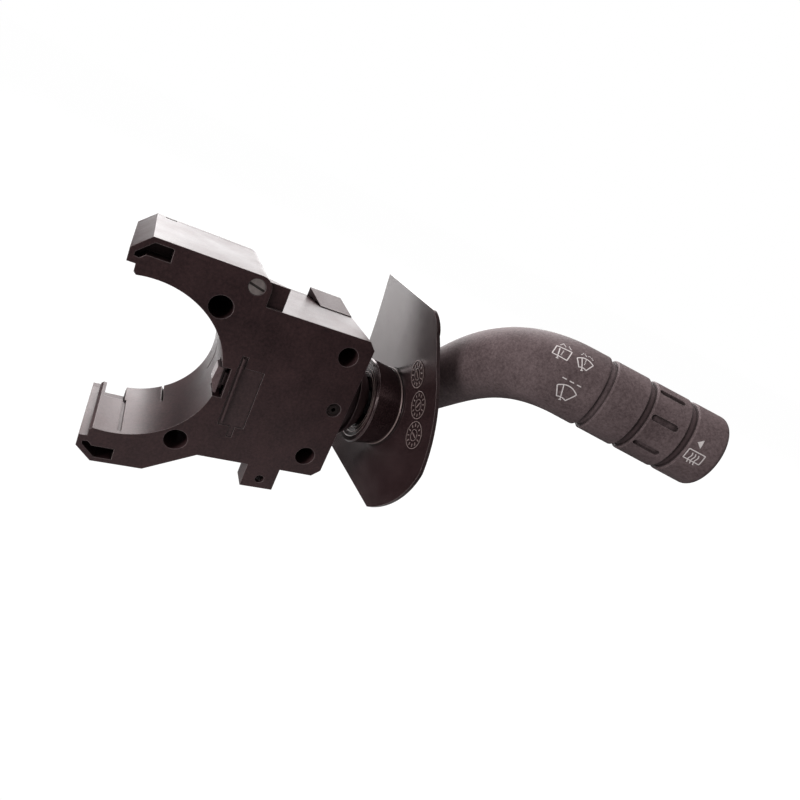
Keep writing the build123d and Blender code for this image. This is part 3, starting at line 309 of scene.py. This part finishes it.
def make_piece(name, mesh, material, body, smooth_angle=35.0):
    """Object from a bmesh, shaded smooth up to an angle, that rides on a body."""
    data = bpy.data.meshes.new(name)
    mesh.to_mesh(data)
    mesh.free()
    data.materials.append(material)
    piece = bpy.data.objects.new(name, data)
    bpy.context.scene.collection.objects.link(piece)
    data.shade_smooth()
    data.set_sharp_from_angle(angle=math.radians(smooth_angle))
    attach(piece, body)
    return piece


stalk_shape = stalk_mesh()
stalk_skin = BVHTree.FromBMesh(stalk_shape)
stalk = make_piece("stalk_body", stalk_shape, lever_plastic, "lever")
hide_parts("lever_stalk")

# ---------------------------------------------------------------------------
# Printed symbols: pad-printed pale ink on the stalk and the cap, drawn as
# strokes in millimetres and wrapped round the knob's axis.
# ---------------------------------------------------------------------------
# Pad-printing ink: pale warm grey and matt, its film uneven every 0.4 mm or so.
ink, ink_shader = new_material("pad_printed_pale_ink")
ink_place = add(ink, "TexCoord").outputs["Object"]
ink_film = add(ink, "TexNoise", {"Vector": ink_place, "Scale": 1 / (0.4 * MM), "Detail": 3.0})
ink_tone = add(ink, "Mix", {
    "Factor": ink_film.outputs["Fac"], "A": linear("#c4bab9"), "B": linear("#ded6d5")}, data_type="RGBA")
link(ink, ink_tone.outputs["Result"], ink_shader.inputs["Base Color"])
ink_shader.inputs["Roughness"].default_value = 0.55
# Widths of a stroke, of a wiper's foot and of the arrowhead's hatching, and the
# ink's top above the plastic and its hidden underside below.
STROKE, FOOT, HATCH = 0.36, 0.85, 0.32
INK_RISE, INK_SINK = 0.04, 0.03
STROKE_STEP = 0.3           # longest straight run of a stroke on a curved skin


def dashes(start, end, count, fill=0.55):
    """A straight dotted stroke as separate short ones."""
    marks = []
    for i in range(count):
        a, b = i / (count - 1 + fill), (i + fill) / (count - 1 + fill)
        marks.append((STROKE, [
            (start[0] + (end[0] - start[0]) * f, start[1] + (end[1] - start[1]) * f) for f in (a, b)]))
    return marks


def curve(first, middle, last, steps=10):
    """Points of a shallow arc through three points."""
    points = []
    for i in range(steps + 1):
        f = i / steps
        weights = ((1 - f) * (1 - 2 * f), 4 * f * (1 - f), f * (2 * f - 1))
        points.append(tuple(sum(w * p[k] for w, p in zip(weights, (first, middle, last))) for k in (0, 1)))
    return points


def windscreen(width, rise, depth):
    """Fan-shaped windscreen with its wiper: arc above, arc below, a slanting arm with a foot."""
    low = 0.46 * width
    edge = curve((-width / 2, 0), (0, rise), (width / 2, 0))
    edge += reversed(curve((-low / 2, -depth), (0, rise * 0.3 - depth), (low / 2, -depth)))
    edge.append(edge[0])
    arm = [(-0.25 * width, 0.75 * rise), (0.0, -depth - 0.55)]
    return [(STROKE, edge), (STROKE, arm), (FOOT, [(-0.02, -depth - 0.5), (0.06, -depth - 0.8)])]


def knob_point(t, s):
    """Point on the knob's own cylinder, and its outward direction."""
    angle = s / KNOB_R * MM
    out = tip_up * math.cos(angle) + tip_side * math.sin(angle)
    return TIP + tip_axis * t * MM + out * KNOB_R, out


def stalk_point(t, s):
    """Point on the stalk's skin below the same place of the knob's cylinder."""
    point, out = knob_point(t, s)
    hit, normal, _, _ = stalk_skin.ray_cast(point + out * 10 * MM, -out)
    return hit, normal


def band(mesh, rows, closed=False):
    """Faces of a bar whose rows hold its corners: two above and two below in turn."""
    pairs = list(zip(rows, rows[1:])) + ([(rows[-1], rows[0])] if closed else [])
    for a, b in pairs:
        for i, j in ((0, 2), (2, 3), (3, 1), (1, 0)):
            mesh.faces.new((a[i], a[j], b[j], b[i]))
    if not closed:
        for row in (rows[0], rows[-1]):
            mesh.faces.new((row[0], row[2], row[3], row[1]))


def print_symbol(name, strokes, t0, s0, turn, skin, body):
    """Wrap strokes on a skin as thin bars of ink, centred at (t0, s0) and turned clockwise."""
    mesh = bmesh.new()
    c, d = math.cos(math.radians(turn)), math.sin(math.radians(turn))
    for width, points in strokes:
        fine = [points[0]]
        for a, b in zip(points, points[1:]):
            count = max(1, int(math.hypot(b[0] - a[0], b[1] - a[1]) / STROKE_STEP))
            for i in range(1, count + 1):
                fine.append((a[0] + (b[0] - a[0]) * i / count, a[1] + (b[1] - a[1]) * i / count))
        rows = []
        for i, (x, y) in enumerate(fine):
            before, after = fine[max(i - 1, 0)], fine[min(i + 1, len(fine) - 1)]
            dx, dy = after[0] - before[0], after[1] - before[1]
            size = math.hypot(dx, dy) or 1.0
            row = []
            for side in (1, -1):
                px, py = x - dy / size * side * width / 2, y + dx / size * side * width / 2
                point, normal = skin(t0 + px * c + py * d, s0 - py * c + px * d)
                row.append(mesh.verts.new(point + normal * INK_RISE * MM))
                row.append(mesh.verts.new(point - normal * INK_SINK * MM))
            rows.append(row)
        band(mesh, rows)
    bmesh.ops.recalc_face_normals(mesh, faces=mesh.faces)
    make_piece(name, mesh, ink, body)


rear_glass = [(STROKE, [(-2.6, 1.9), (2.6, 1.9), (2.6, -1.9), (-2.6, -1.9), (-2.6, 1.9)])]
rear_wiper = [(STROKE, [(-1.35, 1.3), (-0.5, -2.6)]), (FOOT, [(-0.45, -2.7), (-0.35, -3.0)])]
rear_spray = dashes((-1.75, 2.9), (-1.1, 4.2), 3) + dashes((-1.0, 4.1), (0.1, 2.9), 3)
rear_spray += dashes((0.9, 3.9), (2.0, 2.7), 3) + dashes((0.1, 0.9), (0.1, -1.2), 4)
rear_wash = rear_glass + rear_wiper + rear_spray
print_symbol("rear_wash_symbol", rear_wash, -33.0, 11.2, 8.0, stalk_point, "lever")

front_spray = dashes((-1.9, 2.3), (-1.3, 3.3), 3) + dashes((-0.9, 3.4), (-0.1, 2.5), 3)
front_spray += dashes((0.4, 3.1), (1.2, 3.2), 3) + dashes((1.6, 3.0), (2.3, 2.2), 3)
front_spray += dashes((0.1, 1.2), (0.1, -0.9), 4)
front_spray = [(w, [(x, y - 0.35) for x, y in line]) for w, line in front_spray]
front_wash = windscreen(5.7, 1.15, 2.8) + front_spray
print_symbol("front_wash_symbol", front_wash, -25.2, 10.9, 0.0, stalk_point, "lever")

interval = [(STROKE, [(x - 0.75, 3.0), (x + 0.75, 3.0)]) for x in (-2.6, 0.0, 2.6)]
interval_wipe = windscreen(7.0, 1.45, 3.6) + interval
print_symbol("interval_wipe_symbol", interval_wipe, -26.1, 22.2, 0.0, stalk_point, "lever")

# A solid arrowhead, filled by strokes side by side.
ARROW_TIP, ARROW_BACK, ARROW_ROW = 1.15, 0.57, 0.3
arrow = []
for y in (ARROW_ROW * k for k in range(-4, 5)):
    arrow.append((HATCH, [(ARROW_TIP * abs(y) - ARROW_TIP, y), (ARROW_BACK, y)]))
print_symbol("cap_mark_symbol", arrow, 19.7, 17.05, 0.0, knob_point, "twist_cap")
heated = [(STROKE, [(-2.87, 1.71), (2.87, 1.71), (2.87, -1.71), (-2.87, -1.71), (-2.87, 1.71)])]
for x in (-1.2, -0.1, 1.0):
    heated.append((STROKE, [
        (x, 0.95), (x + 0.3, 0.3), (x + 0.25, -0.3), (x - 0.05, -1.1), (x, -1.7), (x + 0.4, -2.75)]))
print_symbol("rear_heat_symbol", heated, 20.26, 21.66, 0.0, knob_point, "twist_cap")

# ---------------------------------------------------------------------------
# Shield's hollow side: date clocks left by three round mould inserts, each a
# raised ring with ticks and a pointer, and the rolled beads round the collar.
# Both are moulded in one with the shield.
# ---------------------------------------------------------------------------
SHIELD_AXIS_X, SHIELD_AXIS_Z, SHIELD_R = 4.0, 4.0, 90.0
COLLAR_Y, RIM_X, RIM_R, ROOT_BEAD_R = 16.5, 81.7, 14.8, 16.0
CLOCKS = ((-0.2, 22.4), (-8.0, 13.7), (-13.5, 4.2))
CLOCK_RISE, CLOCK_SINK = 0.3, 0.05
# Radii and rib widths of a clock's rim and inner ring, its ticks and its pointer.
CLOCK_R, DIAL_R = 5.0, 2.1
CLOCK_RIB, DIAL_RIB = 0.26, 0.208
TICKS, TICK_IN, TICK_OUT, TICK_RIB = 12, 3.1, 4.3, 0.39
POINTER_R, POINTER_RIB = 1.5, 0.416
FIRST_POINTER, NEXT_POINTER = 40, 75        # degrees; each clock points another way
# Beads: one at the collar's root, and others near its rim, each given by how far
# it lies outside the rim's radius and beyond the rim along X.
ROOT_BEAD, ROOT_BEAD_RISE, RIM_BEAD = 0.42, 0.75, 0.32
RIM_BEADS = ((0.35, 0.3), (-1.6, 0.75), (-3.3, 1.05))
BEAD_STEPS = 72
# Raised marks: smooth and half shiny, painted pale as a highlight on their edges.
pale_highlight_marks = moulded_plastic("pale_highlight_mould_marks", "#75635f", "#8c7976", 0.24, 0.45, 0.004)


def shield_point(y, z, rise):
    """Point above the shield's hollow face."""
    reach = SHIELD_R - rise
    return Vector((SHIELD_AXIS_X + math.sqrt(reach ** 2 - (z - SHIELD_AXIS_Z) ** 2), y, z)) * MM


def circle(y, z, radius, count=48):
    """Points (y, z) round a circle."""
    angles = [2 * math.pi * k / count for k in range(count)]
    return [(y + radius * math.cos(a), z + radius * math.sin(a)) for a in angles]


def spoke(y, z, angle, inner, outer):
    """Short radial line (y, z) of a clock's dial."""
    return [(y + r * math.cos(angle), z + r * math.sin(angle)) for r in (inner, outer)]


def raised_line(mesh, points, width, closed=False):
    """Rib of square section along points (y, z) of the shield's hollow face."""
    rows = []
    count = len(points)
    for i, (y, z) in enumerate(points):
        before = points[(i - 1) % count] if closed or i else points[i]
        after = points[(i + 1) % count] if closed or i < count - 1 else points[i]
        dy, dz = after[0] - before[0], after[1] - before[1]
        size = math.hypot(dy, dz)
        row = []
        for side in (1, -1):
            py, pz = y - dz / size * side * width / 2, z + dy / size * side * width / 2
            row.append(mesh.verts.new(shield_point(py, pz, CLOCK_RISE)))
            row.append(mesh.verts.new(shield_point(py, pz, -CLOCK_SINK)))
        rows.append(row)
    band(mesh, rows, closed)


def rolled_bead(mesh, centres, radius, sides=10):
    """Round bead along a closed line of centres about the collar's axis."""
    rows = []
    middle = Vector((RIM_X, COLLAR_Y, 0.0)) * MM
    for centre in centres:
        out = centre - middle
        out.x = 0.0
        out.normalize()
        rows.append([
            mesh.verts.new(centre + (out * math.cos(a) + Vector((1, 0, 0)) * math.sin(a)) * radius * MM)
            for a in (2 * math.pi * k / sides for k in range(sides))])
    for a, b in zip(rows, rows[1:] + rows[:1]):
        for k in range(sides):
            mesh.faces.new((a[k], a[(k + 1) % sides], b[(k + 1) % sides], b[k]))


clocks = bmesh.new()
for number, (cy, cz) in enumerate(CLOCKS):
    raised_line(clocks, circle(cy, cz, CLOCK_R), CLOCK_RIB, closed=True)
    raised_line(clocks, circle(cy, cz, DIAL_R, 24), DIAL_RIB, closed=True)
    for k in range(TICKS):
        raised_line(clocks, spoke(cy, cz, 2 * math.pi * k / TICKS, TICK_IN, TICK_OUT), TICK_RIB)
    pointer = math.radians(FIRST_POINTER + NEXT_POINTER * number)
    raised_line(clocks, spoke(cy, cz, pointer, -POINTER_R, POINTER_R), POINTER_RIB)
bmesh.ops.recalc_face_normals(clocks, faces=clocks.faces)
make_piece("shield_date_clocks", clocks, pale_highlight_marks, "lever")

# The beads carry the same pale painted highlight.
beads = bmesh.new()
root_line = [shield_point(y, z, ROOT_BEAD_RISE) for y, z in circle(COLLAR_Y, 0.0, ROOT_BEAD_R, BEAD_STEPS)]
rolled_bead(beads, root_line, ROOT_BEAD)
for outside, beyond in RIM_BEADS:
    rim_circle = circle(COLLAR_Y, 0.0, RIM_R + outside, BEAD_STEPS)
    rolled_bead(beads, [Vector((RIM_X + beyond, y, z)) * MM for y, z in rim_circle], RIM_BEAD)
bmesh.ops.recalc_face_normals(beads, faces=beads.faces)
make_piece("collar_beads", beads, pale_highlight_marks, "lever")

# ---------------------------------------------------------------------------
# Stage: pale paper floor, white surroundings, broad soft lamps, and the camera.
# None of it belongs to the part.
# ---------------------------------------------------------------------------
FLOOR_Z, FLOOR_REACH = -0.085, 40.0
FLOOR_GLOW, FLOOR_SHOWN = 1.17, 0.35        # floor as the camera sees it: its glow, and its paper's tone
GLOW_SHARE = 0.8                            # how much of what the camera sees is the glow
LEAN = -0.9                                 # how the near edge of the white paper leans with X

# Paper: matt. It shows the camera an even white, and shows the part paper that is
# white behind it, fades to the left, and is grey in front, fading to the right
# and away from the line Y = -0.08 m, so that the part's front faces stay dark.
floor_material, floor_shader = new_material("pale_paper_floor")
floor_shader.inputs["Roughness"].default_value = 0.8
floor_place = add(floor_material, "SeparateXYZ", {0: add(floor_material, "TexCoord").outputs["Object"]})
slant = add(floor_material, "Math", {
    0: floor_place.outputs["X"], 1: LEAN, 2: floor_place.outputs["Y"]}, operation="MULTIPLY_ADD")
behind = add(floor_material, "MapRange", {
    "Value": slant.outputs[0], "From Min": 0.204, "From Max": 0.242, "To Min": 0.03, "To Max": 1.0})
left = add(floor_material, "MapRange", {
    "Value": floor_place.outputs["X"], "From Min": -0.16, "From Max": -0.04, "To Min": 0.05, "To Max": 1.0})
far = add(floor_material, "Math", {
    0: behind.outputs["Result"], 1: left.outputs["Result"]}, operation="MULTIPLY")
right_side = add(floor_material, "MapRange", {
    "Value": floor_place.outputs["X"], "From Min": 0.09, "From Max": 0.17, "To Min": 1.0, "To Max": 0.25})
beside = add(floor_material, "Math", {0: floor_place.outputs["Y"], 1: 0.08}, operation="ADD")
apart = add(floor_material, "Math", {0: beside.outputs[0]}, operation="ABSOLUTE")
before = add(floor_material, "MapRange", {
    "Value": apart.outputs[0], "From Min": 0.0, "From Max": 0.22, "To Min": 0.6, "To Max": 0.1})
near = add(floor_material, "Math", {
    0: before.outputs["Result"], 1: right_side.outputs["Result"]}, operation="MULTIPLY")
floor_tone = add(floor_material, "Math", {0: far.outputs[0], 1: near.outputs[0]}, operation="MAXIMUM")
seen = add(floor_material, "LightPath").outputs["Is Camera Ray"]
shown = add(floor_material, "Mix", {0: seen, 2: floor_tone.outputs[0], 3: FLOOR_SHOWN}, data_type="FLOAT")
link(floor_material, shown.outputs[0], floor_shader.inputs["Base Color"])
glow = add(floor_material, "Emission", {"Color": (1, 1, 1, 1), "Strength": FLOOR_GLOW})
part_seen = add(floor_material, "Math", {0: seen, 1: GLOW_SHARE}, operation="MULTIPLY")
mixed = add(floor_material, "MixShader", {
    0: part_seen.outputs[0], 1: floor_shader.outputs[0], 2: glow.outputs[0]})
link(floor_material, mixed.outputs[0], floor_material.node_tree.nodes["Material Output"].inputs["Surface"])
floor_data = bpy.data.meshes.new("floor")
corners = ((-1, -1), (1, -1), (1, 1), (-1, 1))
floor_data.from_pydata([(x * FLOOR_REACH, y * FLOOR_REACH, FLOOR_Z) for x, y in corners], [], [(0, 1, 2, 3)])
floor_data.materials.append(floor_material)
floor = bpy.data.objects.new("floor", floor_data)
bpy.context.scene.collection.objects.link(floor)

# Surroundings: white to the camera, and dim where they light the part.
world = bpy.data.worlds.new("white_studio")
bpy.context.scene.world = world
world.use_nodes = True
sky = world.node_tree.nodes["Background"]
sky.inputs["Color"].default_value = (1, 1, 1, 1)
to_camera = add(world, "LightPath").outputs["Is Camera Ray"]
level = add(world, "MapRange", {"Value": to_camera, "To Min": 0.22, "To Max": 1.0})
link(world, level.outputs["Result"], sky.inputs["Strength"])


def aim(holder, place, target):
    """Put a lamp at a place, facing a target."""
    bpy.context.scene.collection.objects.link(holder)
    holder.location = place
    holder.rotation_euler = (Vector(target) - Vector(place)).to_track_quat("-Z", "Y").to_euler()


def softbox(name, place, target, size, power):
    """Square soft lamp."""
    data = bpy.data.lights.new(name, "AREA")
    data.shape = "SQUARE"
    data.size = size
    data.energy = power
    aim(bpy.data.objects.new(name, data), place, target)


def skylight(name, place, target, spread, strength):
    """Very distant lamp with soft edges, even over the whole floor."""
    data = bpy.data.lights.new(name, "SUN")
    data.angle = math.radians(spread)
    data.energy = strength
    aim(bpy.data.objects.new(name, data), place, target)


# Lamps overhead and behind light the upper and back faces; one at the left
# fills the front.
skylight("overhead_skylight", (-0.1, 0.25, 1.0), (0.0, 0.0, 0.0), 50.0, 1.8)
softbox("back_softbox", (0.35, 1.1, 0.30), (0.04, 0, 0.02), 1.3, 17.0)
softbox("upper_back_softbox", (0.35, 0.8, 0.95), (0.05, 0, 0.02), 0.8, 7.0)
softbox("low_back_softbox", (-0.12, 1.0, 0.48), (0.02, 0, 0), 0.3, 1.7)
softbox("front_fill", (-1.0, -0.38, 0.28), (0.07, 0, 0), 0.4, 8.5)

camera_data = bpy.data.cameras.new("camera")
camera_data.sensor_width = 36.0
camera_data.lens = 24.0
camera_data.clip_start = 0.01
camera = bpy.data.objects.new("camera", camera_data)
bpy.context.scene.collection.objects.link(camera)
# The camera's own axes and place.
right = Vector((0.8430376, -0.34005936, 0.41671001))
up = Vector((-0.2358037, 0.46265542, 0.85460317))
back = Vector((-0.48340895, -0.81872437, 0.30984866))
turn = Matrix((right, up, back)).transposed().to_4x4()
camera.matrix_world = Matrix.Translation(Vector((-6.532, -163.636, 72.652)) * MM) @ turn
bpy.context.scene.camera = camera
bpy.context.scene.view_settings.view_transform = "Standard"
